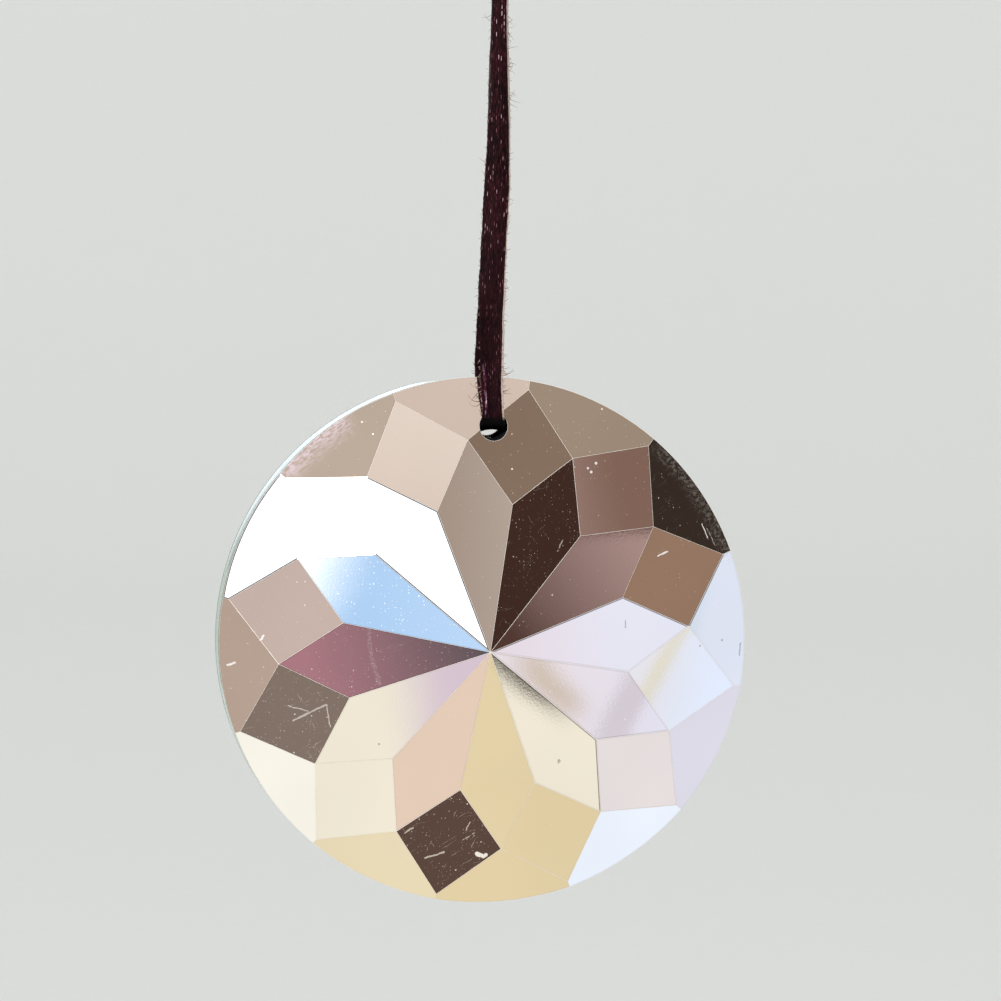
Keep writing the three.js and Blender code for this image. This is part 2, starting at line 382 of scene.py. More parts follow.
    # weave facts for the material: x = which way across, y = strength of the float's painted glint, z = along
    across = np.concatenate([front_u, back_u]) / (RIBBON_W / 2)
    at = me.attributes.new("weave", "FLOAT_VECTOR", "POINT")
    data = np.zeros((n, cols, 3), np.float32)
    data[:, :, 0] = across[None, :]
    data[:, :, 1] = np.stack(painted_glint, 1)
    data[:, :, 2] = s[:, None]
    at.data.foreach_set("vector", data.ravel())
    o = bpy.data.objects.new("ribbon", me)
    collection.objects.link(o)
    frames = {"p": p, "side": side, "outer": outer, "theta": theta, "rho": rho, "s": s, "tangent": tangent}
    return o, frames


def satin_material():
    m, n = material("burgundy_satin")
    at = n.add("Attribute", attribute_name="weave", attribute_type="GEOMETRY")
    sep = n.add("SeparateXYZ", inputs={"Vector": at.outputs["Vector"]})
    across, painted_glint, along = sep.outputs
    co = n.add("TexCoord").outputs["Object"]
    pos = n.add("SeparateXYZ", inputs={"Vector": co})
    blot = n.noise(co, 420.0, 3.0, 0.6)
    fine = n.noise(co, 5200.0, 2.0, 0.6)
    threads = n.add("Mapping", inputs={"Vector": co, "Scale": (6.0, 6.0, 1.0)})
    thread = n.noise(threads.outputs[0], 1500.0, 2.0, 0.6)
    base = n.mix(n.step(blot, 0.35, 0.7), (0.0060, 0.0010, 0.0018), (0.017, 0.0028, 0.0050))
    base = n.mix(n.math("MULTIPLY", n.step(thread, 0.48, 0.68, 0.0, 0.9), n.step(pos.outputs[2], -0.030, -0.042, 1.0, 0.55)),
                 base, (0.046, 0.011, 0.014))
    # painted glints: floats of the weave painted pale pink to near white where they would catch the light, more of them
    # in some stretches than in others
    painted_glint_level = n.math("ADD", painted_glint, n.step(blot, 0.3, 0.7, -0.16, 0.08))
    painted_glint_level = n.math("SUBTRACT", painted_glint_level, n.step(pos.outputs[2], -0.024, -0.042, 0.0, 0.20))
    base = n.mix(n.step(painted_glint_level, 0.30, 0.62), base, (0.15, 0.042, 0.062))
    base = n.mix(n.math("MULTIPLY", n.step(painted_glint_level, 0.60, 0.84), n.step(fine, 0.36, 0.56, 0.45, 1.0)), base, (0.68, 0.56, 0.57))
    # painted highlight: a pinker run with near-white dashes low on the left of the front, where the ribbon's curve
    # faces the light
    low = n.math("MULTIPLY", n.step(pos.outputs[2], -0.0505, -0.0490), n.step(pos.outputs[2], -0.0450, -0.0464))
    low = n.math("MULTIPLY", low, n.step(pos.outputs[1], 0.0006, 0.0))
    run = n.math("MULTIPLY", n.step(n.math("ABSOLUTE", n.math("ADD", across, 0.66)), 0.20, 0.04), low)
    base = n.mix(n.math("MULTIPLY", run, n.step(thread, 0.42, 0.60, 0.15, 0.7)), base, (0.24, 0.040, 0.125))
    base = n.mix(n.math("MULTIPLY", run, n.step(thread, 0.54, 0.64)), base, (0.74, 0.58, 0.68))
    # the selvedges: paler towards the edges, the right one nearly all the way
    inset = n.step(pos.outputs[2], -0.031, -0.016, 0.84, 0.42, kind="LINEAR")  # the ribbon is rolled tighter towards the knot
    right = n.step(across, inset, n.math("ADD", inset, 0.07))
    left = n.step(across, -0.955, -1.0)
    pale_selvedge = n.math("MULTIPLY", n.math("MAXIMUM", right, n.math("MULTIPLY", left, n.step(pos.outputs[2], -0.022, -0.030, 0.12, 0.0))),
                  n.step(fine, 0.30, 0.52, 0.35, 0.9))
    base = n.mix(pale_selvedge, base, (0.60, 0.47, 0.41))
    base = n.mix(n.step(fine, 0.70, 0.85, 0.0, 0.30), base, (0.26, 0.15, 0.15))
    # painted shade: near black where the ribbon goes into the hole, standing in for the shadow there
    painted_hole_shade = n.math("MULTIPLY", n.step(pos.outputs[2], (MOUTH_Z - 0.15) * MM, (MOUTH_Z - 0.75) * MM),
                      n.step(pos.outputs[2], (HOLE_Z - 2) * MM, (HOLE_Z - 1.9) * MM))
    base = n.mix(painted_hole_shade, base, (0.0018, 0.0010, 0.0014))
    rough = n.mixf(n.step(painted_glint_level, 0.4, 0.8), 0.58, 0.34)
    bump = n.add("Bump", inputs={"Strength": 0.35, "Distance": 0.00002, "Height": fine})
    b = n.add("BsdfPrincipled", inputs={"Base Color": base, "Roughness": rough, "Normal": bump.outputs[0],
                                        "Specular IOR Level": 0.06})
    out = n.add("OutputMaterial")
    n.put(out.inputs[0], b.outputs[0])
    return m


SATIN = satin_material()
ribbon, RIB = build_ribbon()
ribbon.data.materials.append(SATIN)


def fibre_material():
    m, n = material("fibre_fuzz")
    co = n.add("TexCoord").outputs["Object"]
    v = n.noise(co, 900.0, 2.0)
    base = n.mix(n.step(v, 0.35, 0.65), (0.13, 0.06, 0.05), (0.42, 0.28, 0.21))
    b = n.add("BsdfPrincipled", inputs={"Base Color": base, "Roughness": 0.5, "Specular IOR Level": 0.5})
    n.put(n.add("OutputMaterial").inputs[0], b.outputs[0])
    return m


def build_fibres():
    """Stray fibres that stand off both edges of the ribbon, thicker in a few tufts."""
    rnd = random.Random(11)
    verts, faces = [], []
    p, side, outer, s = RIB["p"], RIB["side"], RIB["outer"], RIB["s"]
    strand = [i for i in range(len(p)) if MOUTH_Z + 0.5 < p[i][2] < STRAND_TOP - 0.2]
    tufts = {1: (-15.0, -16.2, -17.4, -18.4, -20.6, -23.6, -46.5), -1: (-15.2, -17.2, -21.0, -29.0, -47.5)}
    picks = []
    for _ in range(210):
        i = rnd.choice(strand)
        picks.append((i, rnd.choice((-1, 1)), 1.0))
    for sg, zs in tufts.items():
        for zc in zs:
            for _ in range(6):
                i = min(strand, key=lambda k: abs(p[k][2] - (zc + rnd.gauss(0, 0.45))) + 5 * (p[k][1] > 0.5))
                picks.append((i, sg, 1.7))
    for i, sg, boost in picks:
        theta, rho = RIB["theta"][i], RIB["rho"][i]
        phi = sg * RIBBON_W / 2 / rho
        start = p[i] + side[i] * rho * math.sin(phi) - outer[i] * (rho * (1 - math.cos(phi)) - rho * (1 - math.cos(theta / 4)))
        d = sg * side[i] * rnd.uniform(0.5, 1.0) + RIB["tangent"][i] * rnd.uniform(-1.0, 1.0) + outer[i] * rnd.uniform(-0.5, 0.6)
        d /= np.linalg.norm(d)
        length = boost * rnd.choice((rnd.uniform(0.10, 0.25), rnd.uniform(0.14, 0.45), rnd.uniform(0.35, 0.75) if boost > 1 else 0.38))
        steps = 9
        r = rnd.uniform(0.026, 0.040)
        curl = Vector((rnd.uniform(-1, 1), rnd.uniform(-1, 1), rnd.uniform(-1, 1))).normalized()
        bend = rnd.uniform(0.05, 0.32)
        q, ring0 = Vector(start), None
        dv = Vector(d)
        for k in range(steps + 1):
            ref = dv.cross(Vector((0.3, 0.5, 0.8))).normalized()
            other = dv.cross(ref).normalized()
            rr = r * (1 - 0.75 * k / steps)
            ring = []
            for a in range(3):
                w = a * 2 * math.pi / 3
                ring.append(len(verts))
                verts.append(tuple(q + ref * rr * math.cos(w) + other * rr * math.sin(w)))
            if ring0:
                for a in range(3):
                    faces.append((ring0[a], ring0[(a + 1) % 3], ring[(a + 1) % 3], ring[a]))
            else:
                faces.append(tuple(reversed(ring)))
            ring0 = ring
            q = q + dv * length / steps
            dv = (Matrix.Rotation(bend, 3, curl) @ dv).normalized()
        faces.append(tuple(ring0))
    return new_object("ribbon_fibres", verts, faces, fibre_material())


fibres = build_fibres()


# the knot: three cupped turns of the same ribbon, drawn tight, and two short cut tails
def strip(points, normals, width, cup_deg, thickness=0.26, across=14, closed=False, taper=None, ends=(0.0, 0.0)):
    """A cupped ribbon along the points. normals point out of its satin face."""
    p = np.array(points, float)
    n = len(p)
    if closed:
        t = np.roll(p, -1, 0) - np.roll(p, 1, 0)
    else:
        t = np.gradient(p, axis=0)
    t /= np.linalg.norm(t, axis=1)[:, None]
    nr = np.array(normals, float)
    nr -= (nr * t).sum(1)[:, None] * t
    nr /= np.linalg.norm(nr, axis=1)[:, None]
    side = np.cross(nr, t)
    theta = math.radians(cup_deg)
    cols = []
    pitch_count = YARNS * 2
    us = np.linspace(-0.5, 0.5, pitch_count + 1)
    w = np.full(n, width) if taper is None else width * np.asarray(taper)
    for face, lift in ((1, thickness / 2), (-1, -thickness / 2)):
        uu = us if face == 1 else us[::-1][1:-1]
        for j, u in enumerate(uu):
            rho = w / theta
            phi = u * theta
            ridge = 0.03 * (1 if (j % 2) else -1) * (face == 1)
            shear = (ends[0] * (np.arange(n) == 0) + ends[1] * (np.arange(n) == n - 1)) * u * width
            q = p + side * (rho * np.sin(phi))[:, None] - nr * (rho * (1 - np.cos(phi)))[:, None]
            q = q + (nr * np.cos(phi) + side * np.sin(phi)) * (lift + ridge) + t * shear[:, None]
            cols.append(q)
    cols = np.stack(cols, 1)
    c = cols.shape[1]
    idx = np.arange(n * c).reshape(n, c)
    rows = n if closed else n - 1
    faces = []
    for r in range(rows):
        r2 = (r + 1) % n
        for k in range(c):
            k2 = (k + 1) % c
            faces.append((idx[r, k], idx[r, k2], idx[r2, k2], idx[r2, k]))
    if not closed:
        faces.append(tuple(idx[0][::-1]))
        faces.append(tuple(idx[-1]))
    return cols.reshape(-1, 3), faces


def build_knot():
    centre = (KNOT_LOW + KNOT_HIGH) / 2
    parts = []

    def band(rx, ry, tilt, yaw, width, cup, lift=0.0, wob=0.0):
        pts, nrm = [], []
        rot = Matrix.Rotation(yaw, 3, "Z") @ Matrix.Rotation(tilt, 3, "Y")
        for k in range(72):
            a = 2 * math.pi * k / 72
            v = Vector((rx * math.cos(a), ry * math.sin(a), wob * math.sin(2 * a)))
            m = Vector((math.cos(a) / rx, math.sin(a) / ry, 0)).normalized()
            pts.append(np.array(rot @ v) + centre + (0, 0, lift))
            nrm.append(np.array(rot @ m))
        parts.append(strip(pts, nrm, width, cup, closed=True))

    band(1.45, 1.02, math.radians(25), 0.0, 2.0, 74, -0.35, 0.2)
    band(1.50, 1.08, math.radians(-27), 0.2, 1.9, 80, 0.42, -0.2)
    band(1.66, 1.20, math.radians(4), -0.1, 1.45, 84, 0.02, 0.3)
    for sg, turn in ((1, 0.35), (-1, -0.2)):
        pts, nrm, taper = [], [], []
        for k in range(26):
            f = k / 25
            a = math.radians(34 - 26 * f)
            pts.append(centre + np.array([sg * (0.9 + 4.4 * f * math.cos(a) * 0.9), 0.5 * sg + 0.8 * math.sin(2.2 * f + turn) * sg,
                                          0.5 + 3.9 * f * math.sin(a)]))
            nrm.append(np.array([-sg * 0.25 * math.sin(a), -1.0, 0.25 + 0.4 * math.sin(3 * f + turn)]))
            taper.append(0.62 + 0.38 * min(1, f * 2.2))
        parts.append(strip(pts, nrm, 2.1, 40, thickness=0.2, taper=taper, ends=(0, -0.9 * sg)))
    verts, faces, base = [], [], 0
    for v, f in parts:
        verts.append(v)
        faces += [tuple(i + base for i in face) for face in f]
        base += len(v)
    o = new_object("ribbon_knot_tied", np.vstack(verts), faces)
    bm = bmesh.new()
    bm.from_mesh(o.data)
    bmesh.ops.recalc_face_normals(bm, faces=bm.faces[:])
    bm.to_mesh(o.data)
    bm.free()
    at = o.data.attributes.new("weave", "FLOAT_VECTOR", "POINT")
    rnd = np.random.default_rng(3)
    data = np.zeros((base, 3), np.float32)
    # painted glints, at random, on the knot's floats
    data[:, 1] = rnd.uniform(0, 1, base) ** 3 * 0.6
    at.data.foreach_set("vector", data.ravel())
    o.data.materials.append(SATIN)
    return o


knot = build_knot()

for piece in (ribbon, fibres, knot):
    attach(piece, "root")
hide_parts("ribbon_strands", "ribbon_eye")
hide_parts("ribbon_knot")


# ------------------------------------------------------------------ crystal
def place(x, z, h):
    """Disc coordinates (across, up, height from the flat back) to the row frame."""
    return (x + CENTRE_X, BACK_Y - h, z + CENTRE_Z)


def crown_height(x, z):
    r, a = math.hypot(x, z), math.atan2(z, x)
    h = 1e9
    for i in range(FACETS):
        point = math.radians(FACET_TURN) - 2 * HALF * i
        between = point - HALF
        u, v = r * math.cos(a - between), r * math.cos(a - point)
        h = min(h, DISC_THICKNESS - SLOPE_K * u, H_INNER - SLOPE_S * (v - INNER_R), H_MIDDLE - SLOPE_G * (u - MIDDLE_R))
    return h


COAT, EDGE, GLASS, BORE, SPRAY, ARRIS = range(6)
COAT_TINT = (0.83, 0.745, 0.68)
RIM_SHIFT = (0.13, 0.11)  # the hand-cut front rim stands this far off the back's centre
# facet by facet, clockwise from the facet at the upper left: dust, hairlines, and the painted shade line just inside
# the facet's edge, as how much of the facet's colour is left in that thin line
WEAR_AND_SHADE = {
    "kite": ((0.10, 0.15, 0.90), (0.55, 0.45, 0.90), (0.12, 0.05, 0.85), (0.05, 0.03, 0.86), (0.05, 0.03, 0.84),
             (0.04, 0.02, 0.86), (0.03, 0.03, 0.88), (0.03, 0.02, 0.84), (0.04, 0.02, 0.84), (0.60, 0.30, 0.60),
             (0.75, 0.12, 0.66), (0.00, 0.00, 0.11)),
    "square": ((0.08, 0.20, 0.92), (0.28, 0.10, 0.90), (0.18, 0.12, 0.85), (0.10, 0.10, 0.85), (0.03, 0.02, 0.90),
               (0.03, 0.02, 0.84), (0.03, 0.02, 0.90), (0.75, 1.00, 0.85), (0.03, 0.02, 0.92), (0.70, 1.00, 0.88),
               (0.34, 0.15, 0.90), (0.00, 0.00, 0.11)),
    "girdle": ((0.06, 0.10, 0.90), (0.30, 0.10, 0.90), (0.25, 0.50, 0.85), (0.04, 0.05, 0.92), (0.03, 0.03, 0.93),
               (0.02, 0.02, 0.94), (0.03, 0.02, 0.92), (0.03, 0.02, 0.93), (0.03, 0.02, 0.93), (0.34, 0.20, 0.88),
               (0.00, 0.00, 0.11), (0.20, 0.10, 0.90)),
}


OVERBRIGHT = [("kite", 11), ("square", 11), ("girdle", 10)]  # the three that mirror the window whole: no line between them
# painted shade lines that differ from the rest of their facet's edge: (the facet the line is on, the facet beside it),
# colour left
LINES = {
    (("kite", 11), ("square", 11)): 1.0, (("square", 11), ("kite", 11)): 1.0, (("square", 11), ("girdle", 10)): 1.0,
    (("girdle", 10), ("square", 11)): 1.0, (("square", 11), ("kite", 10)): 1.0, (("girdle", 3), ("square", 3)): 0.28,
    (("kite", 3), ("kite", 2)): 0.30, (("kite", 3), ("square", 3)): 0.34, (("kite", 5), ("kite", 4)): 0.42,
    (("kite", 5), ("square", 5)): 0.36, (("kite", 4), ("square", 5)): 0.78,
}


def border(a, b):
    """The two ends of the edge between two neighbouring facets, in mm from the disc's centre."""
    def corner(r, k):
        turn = math.radians(FACET_TURN) - 2 * HALF * k
        return Vector((r * math.cos(turn), 0.0, r * math.sin(turn)))
    if a[0] == b[0]:
        return corner(0.0, 0), corner(INNER_R, b[1] if (a[1] + 1) % FACETS == b[1] else a[1])
    square = a[1] if a[0] == "square" else b[1]
    other = b if a[0] == "square" else a
    near, far = (INNER_R, MIDDLE_R) if other[0] == "kite" else (MIDDLE_R, OUTER_R)
    between = corner(MIDDLE_R, other[1] + 0.5)
    return (corner(near, square), between) if near == INNER_R else (between, corner(far, square))


def rim_radius(angle):
    """From the disc's centre to the shifted front rim, in that direction."""
    dx, dz = RIM_SHIFT
    along = dx * math.cos(angle) + dz * math.sin(angle)
    across = dz * math.cos(angle) - dx * math.sin(angle)
    return along + math.sqrt(DISC_RADIUS ** 2 - across ** 2)


def facet_of(normal):
    """Which facet a front face belongs to, from the way it looks: its ring and its number."""
    slope = math.hypot(normal.x, normal.z) / max(abs(normal.y), 1e-6)
    ring = min((("kite", SLOPE_K), ("square", SLOPE_S), ("girdle", SLOPE_G)), key=lambda r: abs(r[1] - slope))[0]
    turn = (math.radians(FACET_TURN) - math.atan2(normal.z, normal.x)) / (2 * HALF)
    return ring, int(round(turn if ring == "square" else turn - 0.5)) % FACETS


def build_crystal():
    bm = bmesh.new()
    arc = 12  # steps of the rim on each girdle facet
    polar = lambda r, a, h: bm.verts.new(place(r * math.cos(a), r * math.sin(a), h))
    points = [math.radians(FACET_TURN) - 2 * HALF * i for i in range(FACETS)]
    apex = polar(0, 0, DISC_THICKNESS)
    v1 = [polar(INNER_R, a, H_INNER) for a in points]
    v2 = [polar(MIDDLE_R, a - HALF, H_MIDDLE) for a in points]
    v3 = [polar(OUTER_R, a, H_OUTER) for a in points]
    total = FACETS * arc
    rings = [[] for _ in range(5)]
    for j in range(total):
        a = points[0] - 2 * math.pi * j / total
        r = rim_radius(a)
        top = crown_height(r * math.cos(a), r * math.sin(a))
        spray = 0.62 + 0.10 * math.sin(3 * a + 1) + 0.05 * math.sin(11 * a) + 0.03 * math.sin(29 * a + 2)
        back = DISC_RADIUS - 0.30 * smooth(-0.26, -0.12, math.cos(a))  # ground in a little further on the right
        for ring, h in zip(rings, (top, top - spray, BACK_CHAMFER + 0.5, BACK_CHAMFER)):
            ring.append(polar(back + (r - back) * (h - BACK_CHAMFER) / (top - BACK_CHAMFER), a, h))
        rings[4].append(polar(back - BACK_CHAMFER, a, 0))
    rim = rings[0]
    for i in range(FACETS):
        k = (i + 1) % FACETS
        bm.faces.new((apex, v1[i], v2[i], v1[k])).material_index = COAT
        bm.faces.new((v1[i], v2[i - 1], v3[i], v2[i])).material_index = COAT
        run = [rim[(i * arc + j) % total] for j in range(arc + 1)]
        bm.faces.new([v3[i]] + run + [v3[k], v2[i]]).material_index = COAT
    for upper, lower, mat in zip(rings, rings[1:], (SPRAY, GLASS, ARRIS, GLASS)):
        for j in range(total):
            k = (j + 1) % total
            bm.faces.new((upper[j], lower[j], lower[k], upper[k])).material_index = mat
    bm.faces.new(rings[4]).material_index = GLASS
    bmesh.ops.recalc_face_normals(bm, faces=bm.faces[:])
    me = bpy.data.meshes.new("crystal")
    bm.to_mesh(me)
    bm.free()
    o = bpy.data.objects.new("crystal", me)
    collection.objects.link(o)

    # the drill, in mm like the disc; both are scaled afterwards
    seg = 64
    dm = bmesh.new()
    rings = []
    for y in (BACK_Y + 3, BACK_Y - 14):
        rings.append([dm.verts.new((HOLE_X + HOLE_RADIUS * math.cos(2 * math.pi * k / seg), y,
                                    HOLE_Z + HOLE_RADIUS * math.sin(2 * math.pi * k / seg))) for k in range(seg)])
    for k in range(seg):
        dm.faces.new((rings[0][k], rings[0][(k + 1) % seg], rings[1][(k + 1) % seg], rings[1][k])).material_index = BORE
    dm.faces.new(rings[0][::-1]).material_index = BORE
    dm.faces.new(rings[1]).material_index = BORE
    bmesh.ops.recalc_face_normals(dm, faces=dm.faces[:])
    dme = bpy.data.meshes.new("drill")
    dm.to_mesh(dme)
    dm.free()
    drill = bpy.data.objects.new("drill", dme)
    collection.objects.link(drill)
    for name in ("coat", "edge", "glass", "bore", "spray", "arris"):
        mat = bpy.data.materials.new("tmp_" + name)
        me.materials.append(mat)
        dme.materials.append(mat)

    def apply(mod):
        bpy.context.view_layer.objects.active = o
        for other in bpy.context.selected_objects:
            other.select_set(False)
        o.select_set(True)
        bpy.ops.object.modifier_apply(modifier=mod.name)

    cut = o.modifiers.new("bore", "BOOLEAN")
    cut.operation, cut.object, cut.solver = "DIFFERENCE", drill, "EXACT"
    apply(cut)
    bpy.data.objects.remove(drill)
    me = o.data

    # how wide each edge was rubbed: a little different on every edge, one of them clearly wider
    bm = bmesh.new()
    bm.from_mesh(me)
    weights = bm.edges.layers.float.get("bevel_weight_edge") or bm.edges.layers.float.new("bevel_weight_edge")
    for f in bm.faces:
        if all(abs(math.hypot(v.co.x - HOLE_X, v.co.z - HOLE_Z) - HOLE_RADIUS) < 0.02 for v in f.verts):
            f.material_index = BORE
    for e in bm.edges:
        if len(e.link_faces) != 2 or e.calc_face_angle(0.0) < math.radians(3.0):
            continue
        mats = [f.material_index for f in e.link_faces]
        if mats == [BORE, BORE]:
            continue
        if mats == [COAT, COAT]:
            names = sorted(facet_of(f.normal) for f in e.link_faces)
            key = sum((i + 1) * 7.31 * (3 + len(ring)) for ring, i in names)
            e[weights] = 0.36 + 0.20 * (math.sin(key * 1.7) * 0.5 + 0.5)
            if all(name in OVERBRIGHT for name in names):
                e[weights] = 0.0
            if names == [("girdle", 9), ("square", 10)]:
                e[weights] = 1.0
        elif COAT in mats and BORE in mats:
            e[weights] = 0.62
        elif COAT in mats:
            e[weights] = 0.68
        else:
            e[weights] = 0.45
    bm.to_mesh(me)
    bm.free()
    bev = o.modifiers.new("edges", "BEVEL")
    bev.width, bev.segments, bev.limit_method = 0.32, 3, "WEIGHT"
    bev.offset_type = "WIDTH"
    bev.material = EDGE
    bev.use_clamp_overlap = True
    apply(bev)
    me = o.data

    bm = bmesh.new()
    bm.from_mesh(me)
    bm.faces.layers.float_vector.new("wear")
    wear = bm.faces.layers.float_vector["wear"]
    bm.normal_update()
    for f in bm.faces:
        f.smooth = f.material_index != COAT
        height = BACK_Y - f.calc_center_median().y
        if f.material_index == EDGE and height < 1.6:
            f.material_index = ARRIS
        f[wear] = Vector((0.0, 0.0, 1.0))
        if f.material_index == COAT:
            ring, i = facet_of(f.normal)
            dust, hair, shade = WEAR_AND_SHADE[ring][i]
            f[wear] = Vector((dust, hair, shade))
    # thin strips just inside each facet's edge carry the painted shade lines
    main = [f for f in bm.faces if f.material_index == COAT]
    lined = {on for on, beside in LINES}
    wide = [f for f in main if facet_of(f.normal) in lined]
    narrow = [f for f in main if facet_of(f.normal) not in lined]
    for faces, width in ((wide, 0.10), (narrow, 0.055)):
        bmesh.ops.inset_individual(bm, faces=faces, thickness=width, depth=0.0, use_even_offset=True)
    whole = set(main)
    for f in bm.faces:
        if f.material_index != COAT or f in whole:
            continue
        own, c = facet_of(f.normal), f.calc_center_median()
        c = Vector((c.x - CENTRE_X, 0.0, c.z - CENTRE_Z))
        for (on, beside), left in LINES.items():
            if on == own:
                p0, p1 = border(on, beside)
                d = (p1 - p0).normalized()
                run = (c - p0).dot(d)
                if (c - p0 - d * run).length < 0.35 and -0.2 < run < (p1 - p0).length + 0.2:
                    f[wear] = Vector((f[wear].x, f[wear].y, left))
    for f in main:
        f[wear] = Vector((f[wear].x, f[wear].y, 1.0))
    for e in bm.edges:
        if len(e.link_faces) == 2:
            e.smooth = e.link_faces[0].material_index == e.link_faces[1].material_index
    bm.to_mesh(me)
    bm.free()
    me.transform(Matrix.Scale(MM, 4))
    me.update()
    return o


crystal = build_crystal()


def coat_materials():
    """The vapour coated mirror, its rubbed facet edges, the clear glass, the drilled bore and the coat's overspray."""
    # ---- mirror
    m, n = material("champagne_mirror")
    co = n.add("TexCoord").outputs["Object"]
    sep = n.add("SeparateXYZ", inputs={"Vector": co})
    x = n.math("MULTIPLY_ADD", sep.outputs[0], 1 / MM, -CENTRE_X)
    z = n.math("MULTIPLY_ADD", sep.outputs[2], 1 / MM, -CENTRE_Z)
    disc = n.add("CombineXYZ", inputs={"X": x, "Y": z}).outputs[0]  # mm across and up from the disc's centre
    wobble = n.vmath("SCALE", n.vmath("SUBTRACT", n.noise(disc, 2.2, 1.0, out="Color"), (0.5, 0.5, 0.5)), Scale=0.22)
    rough_disc = n.vmath("ADD", disc, wobble)
    wear = n.add("SeparateXYZ", inputs={"Vector": n.add("Attribute", attribute_name="wear").outputs["Vector"]})
    dust_amount, hair_amount, shade = wear.outputs

    def flat_voronoi(scale):
        v = n.add("TexVoronoi", voronoi_dimensions="2D", inputs={"Scale": scale})
        n.put(v.inputs["Vector"], disc)
        rnd = n.add("SeparateColor", inputs={0: v.outputs["Color"]})
        return v.outputs["Distance"], rnd.outputs[0], rnd.outputs[1]

    def dust(scale, size, density):
        dist, chosen, big = flat_voronoi(scale)
        reach = n.math("MULTIPLY_ADD", n.math("POWER", big, 2.0), size * 0.9, size * 0.35)
        here = n.step(dist, n.math("MULTIPLY", reach, 1.5), n.math("MULTIPLY", reach, 0.5))
        return n.math("MULTIPLY", here, n.step(chosen, density, n.math("ADD", density, 0.02), 1.0, 0.0))

    patchy = n.step(n.noise(disc, 0.42, 2.0, 0.6), 0.36, 0.66, 0.25, 1.0)
    amount = n.math("MULTIPLY", dust_amount, patchy)
    specks = n.math("MAXIMUM", n.math("MULTIPLY", dust(1.5, 0.085, n.math("MULTIPLY", amount, 0.24)), 0.52),
                    n.math("MULTIPLY", dust(3.2, 0.12, n.math("MULTIPLY", amount, 0.70)), 0.34))

    def hair(angle, length, width, cut):
        mp = n.add("Mapping", vector_type="TEXTURE", inputs={"Vector": rough_disc, "Rotation": (0.0, 0.0, angle),
                                                             "Scale": (length, width, 1.0)})
        streak = n.noise(mp.outputs[0], 1.0, 1.0, 0.5)
        return n.step(streak, cut, cut + 0.05)

    hairs = hair(0.62, 2.6, 0.09, 0.70)
    for angle, length, width, cut in ((-0.95, 2.0, 0.08, 0.71), (1.25, 1.7, 0.10, 0.71), (0.25, 3.2, 0.07, 0.72)):
        hairs = n.math("MAXIMUM", hairs, hair(angle, length, width, cut))
    hair_patch = n.step(n.noise(disc, 0.30, 1.0), 0.42, 0.60, 0.30, 1.0)
    hairs = n.math("MULTIPLY", n.math("MULTIPLY", hairs, n.math("MULTIPLY", hair_amount, hair_patch)), 0.30)

    def dot(cx, cz, r):
        d = n.vmath("LENGTH", n.vmath("SUBTRACT", disc, (cx, cz, 0.0)), out=1)
        return n.step(d, r * 1.25, r * 0.7)

    def stroke(x0, z0, x1, z1, width):
        ax, az_ = x1 - x0, z1 - z0
        rel = n.vmath("SUBTRACT", rough_disc, (x0, z0, 0.0))
        t = n.math("DIVIDE", n.vmath("DOT_PRODUCT", rel, (ax, az_, 0.0), out=1), ax * ax + az_ * az_, clamp=True)
        off = n.vmath("SUBTRACT", rel, n.vmath("SCALE", (ax, az_, 0.0), Scale=t))
        return n.step(n.vmath("LENGTH", off, out=1), width * 0.75, width * 0.4)

    def gather(masks):
        total = masks[0]
        for mask in masks[1:]:
            total = n.math("MAXIMUM", total, mask)
        return total

    # chips, scratches, water spots; on three water droplets the bright dots are painted highlights and the dark dots
    # beside them painted shade
    white = gather([
        stroke(-0.22, -17.86, 0.30, -18.12, 0.30), dot(0.52, -17.98, 0.16), stroke(0.25, -18.22, 0.50, -18.10, 0.14),
        stroke(-21.50, -2.10, -21.05, -1.86, 0.17), dot(-21.62, -2.12, 0.09), stroke(14.62, 7.74, 15.45, 8.12, 0.11),
        stroke(18.62, 10.35, 19.12, 9.05, 0.08), stroke(-18.95, 0.18, -18.68, 0.62, 0.12),
        # the three bright dots near (9, 15) are painted highlights on water droplets
        dot(9.21, 15.55, 0.12), dot(8.50, 15.14, 0.10), dot(8.78, 14.82, 0.12), dot(1.97, 15.05, 0.08),
        dot(9.86, 20.01, 0.08), dot(-10.60, 18.67, 0.08), dot(-9.70, 17.71, 0.08),
    ])
    faint = gather([
        stroke(-16.10, -6.60, -13.40, -5.05, 0.13), stroke(-13.36, -5.05, -13.03, -7.00, 0.10),
        stroke(-16.50, -5.30, -14.80, -5.75, 0.09), stroke(-4.65, -18.32, -3.05, -17.80, 0.14),
        stroke(-6.50, -16.10, -5.80, -15.64, 0.12), stroke(-1.28, -15.75, -0.98, -15.02, 0.10),
        stroke(-1.49, -16.66, -0.45, -15.95, 0.07), stroke(6.24, 9.20, 5.78, 8.25, 0.07),
        stroke(19.05, 9.95, 19.75, 8.60, 0.07),
    ])
    smear = gather([stroke(-10.0, 1.5, -9.9, -0.1, 0.26), stroke(-9.9, -0.1, -9.6, -1.4, 0.26), stroke(-9.6, -1.4, -9.05, -3.0, 0.30)])
    smear = n.math("MULTIPLY", smear, n.step(n.noise(disc, 5.5, 3.0, 0.7), 0.38, 0.66, 0.0, 0.20))
    dark = gather([dot(6.37, -9.61, 0.15), stroke(6.37, -9.45, 6.30, -9.75, 0.12), dot(-8.92, -8.29, 0.10), dot(20.52, 0.45, 0.10),
                   dot(18.50, 0.04, 0.09), stroke(22.22, 0.10, 22.18, -0.90, 0.11), stroke(11.78, 2.40, 11.80, 1.80, 0.08),
                   # painted shade on one side of the same water droplets
                   dot(9.10, 15.40, 0.07), dot(8.66, 14.66, 0.07)])

